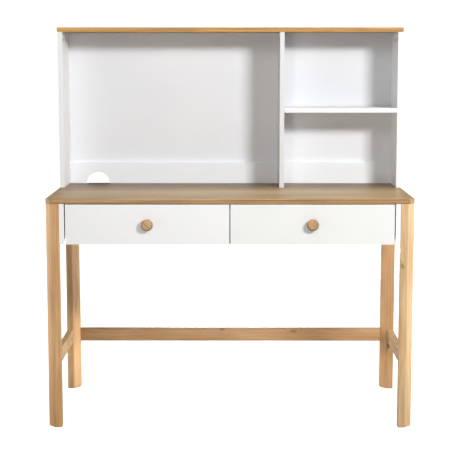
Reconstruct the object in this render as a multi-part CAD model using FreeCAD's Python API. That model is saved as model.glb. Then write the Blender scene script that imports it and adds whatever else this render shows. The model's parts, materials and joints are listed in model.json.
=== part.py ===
# Student desk with a hutch. Four solid wood legs carry a board desktop over two drawers on
# roller runners, and an open hutch of two bays stands on the rear of the desktop.
# Millimetres, +Z up, +X to the user's right; the drawers open towards -Y. The origin is the
# bottom centre of the bounding box, knobs included.
import FreeCAD, Part
import math
import os
from FreeCAD import Vector

os.makedirs("parts", exist_ok=True)

# Desk
deskWidth = 1200.0
deskDepth = 540.0
deskHeight = 760.0
desktopThickness = 16.0
desktopArris = 2.0            # rounding of the desktop's long edges

# Legs: square posts with two opposite corners cut off, so that two flats stay for the joints
legWidth = 46.0
legChamfer = 23.0
legArris = 1.2                # flat cut along each long edge
footChamfer = 2.0

# Stretchers, two at the sides and one at the rear
stretcherThickness = 20.0
stretcherHeight = 47.0
stretcherBottom = 174.0
stretcherInset = 1.5          # outer face behind the legs' outer faces
stretcherArris = 1.2

# Drawer case
caseBoard = 16.0
caseHeight = 133.0
caseSetback = 2.0             # front edges behind the desktop's front edge
partitionBoard = 16.0
apronBoard = 16.0

# Drawers
frontThickness = 16.0
frontSideGap = 3.5
frontMiddleGap = 4.0
frontTopGap = 2.0
frontArris = 1.0
drawerBoard = 12.0
drawerLength = 400.0
drawerHeight = 90.0
drawerRaise = 13.0            # box underside above the front's lower edge
bottomThickness = 3.0
bottomRaise = 10.0            # bottom panel above the box's underside
grooveDepth = 5.0
grooveClearance = 0.2

# Roller runners
runnerGap = 12.5              # between a case wall and the drawer side
runnerLength = 398.0
runnerSheet = 1.2
runnerLipGap = 2.5            # channel lip to the drawer side
runnerUnderlap = 9.0          # drawer member's foot under the drawer side
rollerRadius = 11.0
rollerWidth = 6.5
rollerInset = 13.0            # roller centre from the runner's end
rollerGap = 0.15              # roller to its track
rollerBoreGap = 0.05
liftGap = 1.4                 # drawer member to the channel's upper lip
channelDrop = 2.0             # channel's underside above the drawer's underside
axleRadius = 2.5
axleHeadRadius = 4.2
axleHeadThickness = 0.8
rollerSideGap = 0.4
rollerFaces = 40              # round enough to roll, and light
rollerBoreFaces = 20

# Knobs
knobRadius = 19.0
knobLength = 22.0
knobFootRadius = 12.0
knobRimThickness = 10.0
knobRimEase = 2.5
knobScrewRadius = 2.0
knobScrewGrip = 12.0          # screw length inside the knob
knobScrewHeadRadius = 4.5
knobScrewHeadThickness = 2.4

# Hutch
hutchHeight = 558.0           # desktop to the top of the hutch
hutchDepth = 180.0
hutchBoard = 16.0
hutchTopThickness = 16.0
hutchInset = 1.0              # side's outer face in from the desktop's end
hutchTopOverhang = 2.0
hutchTopEndRadius = 4.0       # lower corners of the top's ends
hutchTopArris = 1.5
rightBayWidth = 394.0
shelfThickness = 16.0
shelfHeight = 263.0           # desktop to the shelf's underside
shelfSetback = 1.0
shelfClearance = 0.5
railHeight = 75.0
railThickness = 16.0
cableNotchRadius = 40.0
cableNotchFromSide = 103.0    # notch centre from the left side's inner face
backPanelThickness = 3.0
rabbetWidth = 8.0
rabbetClearance = 0.3

# Fittings
fitClearance = 0.1            # round the shank of a fitting
pegFaces = 8                  # pegs and bolt shanks that no one sees are eight-sided
headFaces = 16                # cams, screw heads and rivet heads
dowelRadius = 4.0
dowelLength = 30.0
camRadius = 7.5
camThickness = 12.0
camSetback = 26.0             # cam centre from the joint
camBoltRadius = 3.0
camBoltGrip = 10.0            # cam bolt length in the far piece
camBoltGap = 0.3              # bolt's end to the cam's rim
boltRadius = 3.0
boltGrip = 24.0               # bolt length in the far piece
boltHeadRadius = 6.5
hexHeadRadius = 5.8           # to the corners of the hexagon
boltHeadThickness = 3.5
fittingFirstRow = 32.0        # front fittings behind the hutch's front edge
fittingRowPitch = 64.0
bracketWidth = 24.0
bracketLeg = 20.0
bracketSheet = 2.0
supportWidth = 8.0
supportReach = 9.0
supportThickness = 4.0
supportPinRadius = 2.5
supportPinLength = 8.0

# Places that follow from the sizes above
halfWidth = deskWidth / 2
knobStandout = knobLength - caseSetback
frontY = -(deskDepth + knobStandout) / 2 + knobStandout
backY = frontY + deskDepth
caseTop = deskHeight - desktopThickness
caseBottom = caseTop - caseHeight
caseFrontY = frontY + caseSetback
caseBackY = backY - stretcherInset
legInnerX = halfWidth - legWidth
caseInnerX = legInnerX - caseBoard
partitionHalf = partitionBoard / 2
apronFrontY = caseBackY - apronBoard
frontInnerX = frontMiddleGap / 2
frontOuterX = caseInnerX - frontSideGap
frontBackY = caseFrontY + frontThickness
frontTopZ = caseTop - frontTopGap
knobX = (frontInnerX + frontOuterX) / 2
knobZ = (caseBottom + frontTopZ) / 2
boxOuterX = caseInnerX - runnerGap
boxInnerX = partitionHalf + runnerGap
boxBottom = caseBottom + drawerRaise
boxTop = boxBottom + drawerHeight
boxBackY = frontBackY + drawerLength
bottomZ = boxBottom + bottomRaise
hutchFrontY = backY - hutchDepth
hutchSideX = halfWidth - hutchInset
hutchInnerX = hutchSideX - hutchBoard
hutchTopZ = deskHeight + hutchHeight
hutchCeiling = hutchTopZ - hutchTopThickness
dividerX = hutchInnerX - rightBayWidth
panelFrontY = backY - backPanelThickness
railFrontY = panelFrontY - railThickness
shelfBottom = deskHeight + shelfHeight
notchX = cableNotchFromSide - hutchInnerX
fittingRows = (hutchFrontY + fittingFirstRow, hutchFrontY + fittingFirstRow + fittingRowPitch)

alongX = Vector(1, 0, 0)
alongY = Vector(0, 1, 0)
alongZ = Vector(0, 0, 1)
sides = {"left": -1, "right": 1}


def block(x, y, z):
    """Box from three (low, high) pairs."""
    return Part.makeBox(x[1] - x[0], y[1] - y[0], z[1] - z[0], Vector(x[0], y[0], z[0]))


def rod(start, direction, radius, length):
    return Part.makeCylinder(radius, length, start, direction)


def facetedRod(start, direction, radius, length, faces):
    """Prism with its corners on the radius, for bolt heads and for pegs hidden in the boards."""
    across = direction.cross(alongZ)
    if across.Length < 0.5:
        across = Vector(alongX)
    up = direction.cross(across)
    corners = []
    for step in range(faces):
        turn = 2 * math.pi * (step + 0.5) / faces
        corners.append(start + across * (radius * math.cos(turn)) + up * (radius * math.sin(turn)))
    return prism(corners, direction * length)


def prism(points, travel):
    """Solid swept from a closed outline of points along a vector."""
    face = Part.Face(Part.makePolygon(points + points[:1]))
    return face.extrude(travel)


def mirrored(shape, side):
    """The right-hand shape itself, or its mirror image for the left."""
    if side > 0:
        return shape
    return shape.mirror(Vector(0, 0, 0), alongX)


def edgesAlong(shape, axis):
    """Straight edges that run parallel to an axis."""
    found = []
    for edge in shape.Edges:
        if len(edge.Vertexes) != 2:
            continue
        run = edge.Vertexes[1].Point.sub(edge.Vertexes[0].Point)
        if abs(abs(run.dot(axis)) - run.Length) < 1e-6:
            found.append(edge)
    return found


def edgesAtZ(shape, z):
    return [edge for edge in shape.Edges
            if all(abs(corner.Z - z) < 1e-6 for corner in edge.Vertexes)]


# Fittings. Each fitting is made together with the hole that it sits in, and every board or
# leg that a hole reaches is bored by it.

fittings = {"dowels": [], "cam_locks": [], "cam_bolts": [], "leg_bolts": [], "hutch_bolts": []}
holes = []


def addPeg(name, joint, direction, radius, back, ahead):
    """Peg through a joint face: back behind the face and ahead beyond it."""
    start = joint - direction * back
    fittings[name].append(facetedRod(start, direction, radius, back + ahead, pegFaces))


def addPegHole(joint, direction, radius, back, ahead):
    """Hole for a peg, a little wider and longer than the peg itself."""
    back, ahead = back + fitClearance, ahead + fitClearance
    holes.append(facetedRod(joint - direction * back, direction, radius + fitClearance,
                            back + ahead, pegFaces))


def addDowel(joint, direction):
    addPeg("dowels", joint, direction, dowelRadius, dowelLength / 2, dowelLength / 2)
    addPegHole(joint, direction, dowelRadius, dowelLength / 2, dowelLength / 2)


def addCamJoint(joint, direction, faceDirection, faceOffset):
    """Cam in the near piece, let in flush from a face, and its bolt into the far piece."""
    centre = joint - direction * camSetback
    face = centre + faceDirection * faceOffset
    fittings["cam_locks"].append(facetedRod(face, -faceDirection, camRadius, camThickness,
                                            headFaces))
    holes.append(facetedRod(face, -faceDirection, camRadius + fitClearance,
                            camThickness + fitClearance, headFaces))
    # the bolt reaches the cam's rim, and its hole runs on to the middle of the cam's hole
    back = camSetback - camRadius - camBoltGap
    addPeg("cam_bolts", joint, direction, camBoltRadius, back, camBoltGrip)
    addPegHole(joint, direction, camBoltRadius, camSetback, camBoltGrip)


def addBolt(name, face, direction, through, sunk):
    """Bolt through a board into the next piece: a round head let in flush, or a hexagon head."""
    seat = face + direction * (boltHeadThickness if sunk else 0)
    headStart = seat - direction * boltHeadThickness
    if sunk:
        head = facetedRod(headStart, direction, boltHeadRadius, boltHeadThickness, headFaces)
        holes.append(facetedRod(headStart, direction, boltHeadRadius + fitClearance,
                                boltHeadThickness, headFaces))
    else:
        head = facetedRod(headStart, direction, hexHeadRadius, boltHeadThickness, 6)
    reach = through - (boltHeadThickness if sunk else 0) + boltGrip
    fittings[name].append(head.fuse(facetedRod(seat, direction, boltRadius, reach, pegFaces)))
    addPegHole(seat, direction, boltRadius, 0, reach)


def placeFittings():
    postX = halfWidth - stretcherInset - stretcherThickness / 2
    postY = caseBackY - stretcherThickness / 2
    upper = stretcherBottom + stretcherHeight * 0.7
    lower = stretcherBottom + stretcherHeight * 0.3
    for side in sides.values():
        out = alongX * side
        # side stretcher to the front and rear legs
        for face, way in ((frontY + legWidth, -alongY), (backY - legWidth, alongY)):
            addDowel(Vector(side * postX, face, upper), way)
            addCamJoint(Vector(side * postX, face, lower), way, -out, stretcherThickness / 2)
        # rear stretcher to the rear leg
        addDowel(Vector(side * legInnerX, postY, upper), out)
        addCamJoint(Vector(side * legInnerX, postY, lower), out, alongY, stretcherThickness / 2)
        # case side to the front and rear legs, on the flats beside the cut corners
        flat = (legWidth - legChamfer) / 2
        for y in (frontY + flat, backY - flat):
            for z in (caseBottom + caseHeight * 0.25, caseBottom + caseHeight * 0.75):
                addBolt("leg_bolts", Vector(side * caseInnerX, y, z), out, caseBoard, True)
        # rear apron to the case side
        apronY = caseBackY - apronBoard / 2
        addDowel(Vector(side * caseInnerX, apronY, caseBottom + caseHeight / 2), out)
        # hutch side to its top, and down to the desktop
        boardX = side * (hutchSideX - hutchBoard / 2)
        for y in fittingRows:
            addCamJoint(Vector(boardX, y, hutchCeiling), alongZ, -out, hutchBoard / 2)
            addBolt("hutch_bolts", Vector(boardX, y, caseTop), alongZ, desktopThickness, False)
        # lower rail to the hutch side
        railY = panelFrontY - railThickness / 2
        addDowel(Vector(side * hutchInnerX, railY, deskHeight + railHeight / 2), out)
    boardX = dividerX - hutchBoard / 2
    for y in fittingRows:
        addCamJoint(Vector(boardX, y, hutchCeiling), alongZ, -alongX, hutchBoard / 2)
        addBolt("hutch_bolts", Vector(boardX, y, caseTop), alongZ, desktopThickness, False)


def bored(shape):
    """The shape with every fitting's hole that reaches it cut out."""
    for hole in holes:
        if shape.BoundBox.intersect(hole.BoundBox):
            shape = shape.cut(hole)
    return shape


# Desk frame

def desktop():
    """Board with the four corners cut to the line of the legs."""
    x, c = halfWidth, legChamfer
    outline = [(-x + c, frontY), (x - c, frontY), (x, frontY + c), (x, backY - c),
               (x - c, backY), (-x + c, backY), (-x, backY - c), (-x, frontY + c)]
    board = prism([Vector(px, py, caseTop) for px, py in outline], alongZ * desktopThickness)
    rims = edgesAtZ(board, caseTop) + edgesAtZ(board, deskHeight)
    return bored(board.makeFillet(desktopArris, rims))


def leg(rear):
    """Right-hand leg. The outer corner and the one opposite it are cut off at 45 degrees."""
    outX, inX, c = halfWidth, legInnerX, legChamfer
    outY = backY if rear else frontY
    inward = -1 if rear else 1
    inY = outY + inward * legWidth
    outline = [(outX - c, outY), (outX, outY + inward * c), (outX, inY),
               (inX + c, inY), (inX, inY - inward * c), (inX, outY)]
    post = prism([Vector(px, py, 0) for px, py in outline], alongZ * caseTop)
    post = post.makeChamfer(legArris, edgesAlong(post, alongZ))
    return post.makeChamfer(footChamfer, edgesAtZ(post, 0))


def sideStretcher():
    outX = halfWidth - stretcherInset
    bar = block((outX - stretcherThickness, outX), (frontY + legWidth, backY - legWidth),
                (stretcherBottom, stretcherBottom + stretcherHeight))
    return bar.makeChamfer(stretcherArris, edgesAlong(bar, alongY))


def rearStretcher():
    bar = block((-legInnerX, legInnerX), (caseBackY - stretcherThickness, caseBackY),
                (stretcherBottom, stretcherBottom + stretcherHeight))
    return bored(bar.makeChamfer(stretcherArris, edgesAlong(bar, alongX)))


def caseSide():
    return block((caseInnerX, legInnerX), (caseFrontY, caseBackY), (caseBottom, caseTop))


def casePartition():
    return block((-partitionHalf, partitionHalf), (frontBackY + shelfClearance, apronFrontY),
                 (caseBottom, caseTop))


def caseApron():
    return bored(block((-caseInnerX, caseInnerX), (apronFrontY, caseBackY), (caseBottom, caseTop)))


def angleBracket(corner, wallWay, runWay):
    """Steel angle in the corner under the desktop, one leg on a board and one on the top."""
    half = runWay * (bracketWidth / 2)
    inner = wallWay * bracketSheet
    points = [corner - half,
              corner - half + wallWay * bracketLeg,
              corner - half + wallWay * bracketLeg - alongZ * bracketSheet,
              corner - half + inner - alongZ * bracketSheet,
              corner - half + inner - alongZ * bracketLeg,
              corner - half - alongZ * bracketLeg]
    return prism(points, runWay * bracketWidth)


def topBrackets():
    """Two angles on each case side and on the partition, and one on each half of the apron."""
    middleY = (frontBackY + apronFrontY) / 2
    third = (apronFrontY - frontBackY) / 3
    angles = []
    for side in sides.values():
        for y in (middleY - third / 2, middleY + third):
            angles.append(angleBracket(Vector(side * caseInnerX, y, caseTop), alongX * -side, alongY))
        angles.append(angleBracket(Vector(side * partitionHalf, middleY + side * third / 2, caseTop),
                                   alongX * side, alongY))
        angles.append(angleBracket(Vector(side * caseInnerX / 2, apronFrontY, caseTop),
                                   -alongY, alongX))
    return Part.makeCompound(angles)


# Hutch

def hutchTop():
    """Top board whose ends are rounded at their lower corners; rabbet for the back panel."""
    x = hutchSideX + hutchTopOverhang
    board = block((-x, x), (hutchFrontY, backY), (hutchCeiling, hutchTopZ))
    ends = edgesAlong(board, alongY)
    board = board.makeFillet(hutchTopEndRadius, [e for e in ends if e.Vertexes[0].Z < hutchTopZ])
    front = [e for e in edgesAlong(board, alongX) if e.Vertexes[0].Y < backY]
    board = board.makeFillet(hutchTopArris, [e for e in front if e.Vertexes[0].Z > hutchCeiling])
    rabbet = block((-hutchInnerX - rabbetWidth, hutchInnerX + rabbetWidth), (panelFrontY, backY),
                   (hutchCeiling, hutchCeiling + rabbetWidth))
    return bored(board.cut(rabbet))


def hutchSide():
    board = block((hutchInnerX, hutchSideX), (hutchFrontY, backY), (deskHeight, hutchCeiling))
    rabbet = block((hutchInnerX, hutchInnerX + rabbetWidth), (panelFrontY, backY),
                   (deskHeight, hutchCeiling))
    return board.cut(rabbet)


def hutchDivider():
    return bored(block((dividerX - hutchBoard, dividerX), (hutchFrontY, panelFrontY),
                       (deskHeight, hutchCeiling)))


def hutchShelf():
    return block((dividerX + shelfClearance, hutchInnerX - shelfClearance),
                 (hutchFrontY + shelfSetback, panelFrontY - shelfClearance),
                 (shelfBottom, shelfBottom + shelfThickness))


def shelfSupport(wallX, y, outward):
    """Pin in the wall and the flat lug on it that the shelf lies on."""
    lugX = sorted((wallX, wallX - outward * supportReach))
    lug = block(lugX, (y - supportWidth / 2, y + supportWidth / 2),
                (shelfBottom - supportThickness, shelfBottom))
    seat = Vector(wallX, y, shelfBottom - supportThickness / 2)
    way = alongX * outward
    addPegHole(seat, way, supportPinRadius, 0, supportPinLength)
    return lug.fuse(facetedRod(seat, way, supportPinRadius, supportPinLength, pegFaces))


def shelfSupports():
    inset = fittingFirstRow
    rows = (hutchFrontY + inset, panelFrontY - inset)
    return Part.makeCompound([shelfSupport(wallX, y, outward) for y in rows
                              for wallX, outward in ((dividerX, -1), (hutchInnerX, 1))])


def cableNotch():
    """Round cutter for the cable pass, centred on the desktop's surface."""
    return rod(Vector(notchX, railFrontY, deskHeight), alongY, cableNotchRadius,
               backY - railFrontY)


def hutchRail(low, high):
    rail = block((low, high), (railFrontY, panelFrontY), (deskHeight, deskHeight + railHeight))
    return bored(rail.cut(cableNotch()))


def backPanel():
    reach = rabbetWidth - rabbetClearance
    panel = block((-hutchInnerX - reach, hutchInnerX + reach), (panelFrontY, backY),
                  (deskHeight + rabbetClearance, hutchCeiling + reach))
    return panel.cut(cableNotch())


# Drawers, right-hand

def drawerFront():
    board = block((frontInnerX, frontOuterX), (caseFrontY, frontBackY), (caseBottom, frontTopZ))
    face = [e for e in board.Edges if all(v.Y < frontBackY - 1e-6 for v in e.Vertexes)]
    board = board.makeFillet(frontArris, face)
    groove = block((boxInnerX + drawerBoard - grooveDepth, boxOuterX - drawerBoard + grooveDepth),
                   (frontBackY - grooveDepth, frontBackY),
                   (bottomZ - grooveClearance, bottomZ + bottomThickness + grooveClearance))
    board = board.cut(groove)
    return board.cut(facetedRod(Vector(knobX, caseFrontY, knobZ), alongY,
                                knobScrewRadius + fitClearance, frontThickness, pegFaces))


def drawerSide(outer):
    low, high = (boxOuterX - drawerBoard, boxOuterX) if outer else (boxInnerX, boxInnerX + drawerBoard)
    board = block((low, high), (frontBackY, boxBackY), (boxBottom, boxTop))
    grooveX = (low, low + grooveDepth) if outer else (high - grooveDepth, high)
    return board.cut(block(grooveX, (frontBackY, boxBackY),
                           (bottomZ - grooveClearance, bottomZ + bottomThickness + grooveClearance)))


def drawerBack():
    return block((boxInnerX + drawerBoard, boxOuterX - drawerBoard),
                 (boxBackY - drawerBoard, boxBackY), (bottomZ + bottomThickness, boxTop))


def drawerBottom():
    reach = grooveDepth - grooveClearance
    return block((boxInnerX + drawerBoard - reach, boxOuterX - drawerBoard + reach),
                 (frontBackY - reach, boxBackY), (bottomZ, bottomZ + bottomThickness))


def knob():
    """Turned knob: a foot that flares to the rim, and a face with an eased edge."""
    profile = [(0, 0), (knobFootRadius, 0), (knobRadius, knobLength - knobRimThickness),
               (knobRadius, knobLength - knobRimEase),
               (knobRadius - knobRimEase, knobLength), (0, knobLength)]
    points = [Vector(knobX + radius, caseFrontY - out, knobZ) for radius, out in profile]
    turned = Part.Face(Part.makePolygon(points + points[:1])).revolve(points[0], alongY, 360)
    return turned.cut(facetedRod(points[0], -alongY, knobScrewRadius + fitClearance,
                                 knobScrewGrip + fitClearance, pegFaces))


def knobScrew():
    seat = Vector(knobX, frontBackY, knobZ)
    head = facetedRod(seat, alongY, knobScrewHeadRadius, knobScrewHeadThickness, headFaces)
    return head.fuse(facetedRod(seat, -alongY, knobScrewRadius, frontThickness + knobScrewGrip,
                                pegFaces))


# Runners. A section is drawn across the gap between a case wall and the drawer side: u is the
# distance from the wall, and way is +1 where the wall lies on the drawer's +X side.

trackBottom = boxBottom + channelDrop
trackTop = trackBottom + runnerSheet
rollerZ = trackTop + rollerGap + rollerRadius
flangeBottom = rollerZ + rollerRadius + rollerGap
flangeTop = flangeBottom + runnerSheet
channelTop = flangeTop + liftGap + runnerSheet
runnerFrontY = frontBackY + shelfClearance
runnerBackY = runnerFrontY + runnerLength
lipReach = runnerGap - runnerLipGap


def sheetProfile(points, wallX, way):
    outline = [Vector(wallX - way * u, runnerFrontY, z) for u, z in points]
    return prism(outline, alongY * runnerLength)


def runnerAxle(wallX, way, y, root, tip):
    """Axle from its member's web to its tip, with the rivet head that keeps the roller on."""
    run = 1 if tip > root else -1
    across = alongX * (-way * run)
    start = Vector(wallX - way * root, y, rollerZ)
    shank = rod(start, across, axleRadius, abs(tip - root))
    headStart = start + across * (abs(tip - root) - axleHeadThickness)
    return shank.fuse(facetedRod(headStart, across, axleHeadRadius, axleHeadThickness, headFaces))


def caseRunner(wallX, way):
    """Channel on the case wall, open towards the drawer, with the axle of the front roller."""
    t = runnerSheet
    section = [(0, trackBottom), (lipReach, trackBottom), (lipReach, trackTop), (t, trackTop),
               (t, channelTop - t), (lipReach, channelTop - t), (lipReach, channelTop),
               (0, channelTop)]
    channel = sheetProfile(section, wallX, way)
    tip = t + rollerSideGap + rollerWidth + rollerSideGap + axleHeadThickness
    return channel.fuse(runnerAxle(wallX, way, runnerFrontY + rollerInset, t, tip))


def drawerRunner(wallX, way):
    """Angle round the drawer side's lower edge, with the flange that runs on the front roller
    and the axle of the rear roller."""
    t = runnerSheet
    web = runnerGap - t
    foot = runnerGap + runnerUnderlap
    flange = t + rollerSideGap
    section = [(foot, boxBottom - t), (foot, boxBottom), (runnerGap, boxBottom),
               (runnerGap, flangeTop), (flange, flangeTop), (flange, flangeBottom),
               (web, flangeBottom), (web, boxBottom - t)]
    angle = sheetProfile(section, wallX, way)
    tip = web - rollerSideGap - rollerWidth - rollerSideGap - axleHeadThickness
    return angle.fuse(runnerAxle(wallX, way, runnerBackY - rollerInset, web, tip))


def roller(wallX, way, onCase):
    """Plain nylon roller: on the case member's axle at the front, or the drawer's at the rear."""
    near = runnerSheet + rollerSideGap if onCase else (runnerGap - runnerSheet - rollerSideGap
                                                       - rollerWidth)
    y = runnerFrontY + rollerInset if onCase else runnerBackY - rollerInset
    start = Vector(wallX - way * near, y, rollerZ)
    wheel = facetedRod(start, alongX * -way, rollerRadius, rollerWidth, rollerFaces)
    # the bore's flats clear the axle by the gap
    boreRadius = (axleRadius + rollerBoreGap) / math.cos(math.pi / rollerBoreFaces)
    return wheel.cut(facetedRod(start, alongX * -way, boreRadius, rollerWidth, rollerBoreFaces))


# Each piece is written to its own file, named after the node

def save(name, shape):
    shape.exportStep("parts/%s.step" % name)


def buildDesk():
    save("desktop", desktop())
    save("rear_stretcher", rearStretcher())
    save("case_partition", bored(casePartition()))
    save("case_back", caseApron())
    save("top_brackets", topBrackets())
    for word, side in sides.items():
        save("leg_front_" + word, bored(mirrored(leg(False), side)))
        save("leg_rear_" + word, bored(mirrored(leg(True), side)))
        save("side_stretcher_" + word, bored(mirrored(sideStretcher(), side)))
        save("case_side_" + word, bored(mirrored(caseSide(), side)))


def buildHutch():
    save("shelf_supports", shelfSupports())
    save("hutch_top", hutchTop())
    save("hutch_divider", hutchDivider())
    save("hutch_shelf", hutchShelf())
    save("hutch_rail_left", hutchRail(-hutchInnerX, dividerX - hutchBoard))
    save("hutch_rail_right", hutchRail(dividerX, hutchInnerX))
    save("hutch_back_panel", backPanel())
    for word, side in sides.items():
        save("hutch_side_" + word, bored(mirrored(hutchSide(), side)))


def buildDrawers():
    pieces = {"front": drawerFront(), "side_outer": drawerSide(True), "side_inner": drawerSide(False),
              "back": drawerBack(), "bottom": drawerBottom(), "knob": knob(),
              "knob_screw": knobScrew()}
    walls = {"outer": (caseInnerX, 1), "inner": (partitionHalf, -1)}
    for word, side in sides.items():
        for piece, shape in pieces.items():
            save("drawer_%s_%s" % (word, piece), mirrored(shape, side))
        for place, (wallX, way) in walls.items():
            save("runner_case_%s_%s" % (word, place), mirrored(caseRunner(wallX, way), side))
            save("runner_drawer_%s_%s" % (word, place), mirrored(drawerRunner(wallX, way), side))
            save("roller_front_%s_%s" % (word, place), mirrored(roller(wallX, way, True), side))
            save("roller_rear_%s_%s" % (word, place), mirrored(roller(wallX, way, False), side))


placeFittings()
buildDesk()
buildHutch()
buildDrawers()
for name, group in fittings.items():
    save(name, Part.makeCompound(group))
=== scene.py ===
import json
import math

import bmesh
import bpy
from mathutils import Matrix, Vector


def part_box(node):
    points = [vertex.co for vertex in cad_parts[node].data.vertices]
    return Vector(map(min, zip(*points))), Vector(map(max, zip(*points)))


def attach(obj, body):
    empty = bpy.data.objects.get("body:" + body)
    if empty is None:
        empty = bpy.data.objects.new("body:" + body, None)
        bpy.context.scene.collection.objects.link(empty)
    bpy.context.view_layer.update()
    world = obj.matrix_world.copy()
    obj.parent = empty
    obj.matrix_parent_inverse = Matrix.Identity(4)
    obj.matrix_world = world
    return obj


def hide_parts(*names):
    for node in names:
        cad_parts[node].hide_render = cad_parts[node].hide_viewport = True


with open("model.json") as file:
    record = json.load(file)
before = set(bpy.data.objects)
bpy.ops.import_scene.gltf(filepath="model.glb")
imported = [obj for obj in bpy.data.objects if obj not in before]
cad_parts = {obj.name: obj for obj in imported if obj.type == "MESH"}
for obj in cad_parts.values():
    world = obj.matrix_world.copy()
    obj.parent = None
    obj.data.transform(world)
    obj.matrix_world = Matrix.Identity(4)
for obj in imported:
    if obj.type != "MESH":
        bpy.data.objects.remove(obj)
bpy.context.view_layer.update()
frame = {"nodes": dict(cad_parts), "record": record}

cadNodes = frame["nodes"]
scene = bpy.context.scene
mm = 0.001

studio = {
    "cameraPlace": (0.0113, -4.2830, 1.2143),
    "cameraDown": 0.1224,        # radians below the horizon
    "cameraLeft": 0.0027,        # radians left of straight ahead
    "lens": 98.04,               # mm on a 36 mm sensor
    "shift": -0.04,
    "roomLight": 0.01,           # the white room, as it lights the desk
    "roomSeen": 1.05,            # as the camera sees it
    "roomMirrored": 0.30,        # as glossy surfaces see it
    "floorReach": 14,            # from the middle of the floor to its edges
    "floorUnder": 0.2 * mm,      # below the feet
    "floorGlow": (1.00, 1.20),   # what the camera sees added to the lit floor, near and far
    "glowReach": (0.9, 2.6),     # distances from the middle for near and far
    "fillColour": (1.0, 0.985, 0.958),  # the softboxes that aren't pure white
    "pureWhite": ("key", "rightRear", "leftRear", "rear"),
    # softboxes: place, aim, width and height, power
    "softboxes": {
        "key": ((1.80, -2.50, 2.16), (0, 0, 0.90), (0.66, 0.38), 76),
        "rightRear": ((5.60, 1.30, 0.45), (0, 0.20, 0.30), (2.0, 2.0), 138),
        "leftRear": ((-5.60, 1.30, 0.60), (0, 0.20, 0.40), (2.0, 2.0), 160),
        "rightHigh": ((5.60, -0.90, 1.90), (0, 0.10, 0.90), (2.0, 2.0), 25),
        "rightSide": ((4.60, -2.40, 1.50), (0, 0.10, 0.90), (0.9, 0.9), 8),
        "rightFront": ((2.40, -2.40, 2.00), (0, 0, 0.90), (1.2, 1.2), 2),
        "leftLow": ((-2.60, -1.40, 0.50), (0, 0, 0.40), (1.2, 1.2), 8),
        "frontLeftLow": ((-0.62, -3.20, 0.90), (-0.30, 0, 0.60), (0.3, 0.3), 11),
        "front": ((-0.30, -2.60, 2.40), (0, 0, 0.80), (0.8, 0.8), 13),
        "topHigh": ((0, -0.90, 3.20), (0, -0.10, 0.75), (0.8, 0.8), 3.5),
        "topRear": ((0, 0.18, 3.00), (0, 0.18, 0.75), (0.4, 0.4), 58),
        "rear": ((0, 3.50, 0.40), (0, 0, 0.75), (0.7, 0.7), 34),
    },
}


def link(obj):
    scene.collection.objects.link(obj)
    return obj


def middle(box, axis):
    return (box[0][axis] + box[1][axis]) / 2


def softbox(name, colour, spot, aim, size, power):
    data = bpy.data.lights.new(name, "AREA")
    data.shape = "RECTANGLE"
    data.size, data.size_y = size
    data.energy = power
    data.color = colour
    lamp = link(bpy.data.objects.new(name, data))
    lamp.location = spot
    lamp.rotation_euler = (Vector(aim) - Vector(spot)).to_track_quat("-Z", "Y").to_euler()


# Adds a node. wires gives an input a value, or the node or socket that feeds it.
def addNode(tree, kind, wires=None, stops=None, **settings):
    node = tree.nodes.new(kind)
    for name, value in settings.items():
        setattr(node, name, value)
    for socket, value in (wires or {}).items():
        if isinstance(value, bpy.types.Node):
            value = value.outputs[0]
        if isinstance(value, bpy.types.NodeSocket):
            tree.links.new(value, node.inputs[socket])
        else:
            node.inputs[socket].default_value = value
    if stops:
        ramp = node.color_ramp
        while len(ramp.elements) < len(stops):
            ramp.elements.new(0.5)
        for element, (position, colour) in zip(ramp.elements, stops):
            element.position = position
            element.color = colour
    return node


def setStudio():
    data = bpy.data.cameras.new("camera")
    data.lens = studio["lens"]
    data.shift_y = studio["shift"]
    camera = link(bpy.data.objects.new("camera", data))
    camera.location = studio["cameraPlace"]
    camera.rotation_euler = (math.pi / 2 - studio["cameraDown"], 0, studio["cameraLeft"])
    scene.camera = camera
    for name, setting in studio["softboxes"].items():
        colour = (1, 1, 1) if name in studio["pureWhite"] else studio["fillColour"]
        softbox(name + "Softbox", colour, *setting)
    world = bpy.data.worlds.new("whiteRoom")
    scene.world = world
    world.use_nodes = True
    tree = world.node_tree
    tree.nodes.clear()
    white = (1, 1, 1, 1)
    lighting = addNode(tree, "ShaderNodeBackground", {0: white, 1: studio["roomLight"]})
    seen = addNode(tree, "ShaderNodeBackground", {0: white, 1: studio["roomSeen"]})
    mirrored = addNode(tree, "ShaderNodeBackground", {0: white, 1: studio["roomMirrored"]})
    path = addNode(tree, "ShaderNodeLightPath").outputs
    unseen = addNode(tree, "ShaderNodeMixShader",
                     {0: path["Is Glossy Ray"], 1: lighting, 2: mirrored})
    room = addNode(tree, "ShaderNodeMixShader", {0: path["Is Camera Ray"], 1: unseen, 2: seen})
    addNode(tree, "ShaderNodeOutputWorld", {"Surface": room})
    scene.view_settings.view_transform = "Standard"


def layFloor():
    mesh = bpy.data.meshes.new("floor")
    reach = studio["floorReach"]
    corners = [(x * reach, y * reach, -studio["floorUnder"])
               for x, y in ((-1, -1), (1, -1), (1, 1), (-1, 1))]
    mesh.from_pydata(corners, [], [(0, 1, 2, 3)])
    floor = link(bpy.data.objects.new("floor", mesh))
    return floor


# Finishes. Colours are sRGB hex values.

def linear(hexColour):
    parts = [int(hexColour[i:i + 2], 16) / 255 for i in (0, 2, 4)]
    return tuple(c / 12.92 if c <= 0.04045 else ((c + 0.055) / 1.055) ** 2.4 for c in parts) + (1,)


def newFinish(name):
    finish = bpy.data.materials.new(name)
    finish.use_nodes = True
    finish.node_tree.nodes.clear()
    return finish, finish.node_tree


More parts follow.
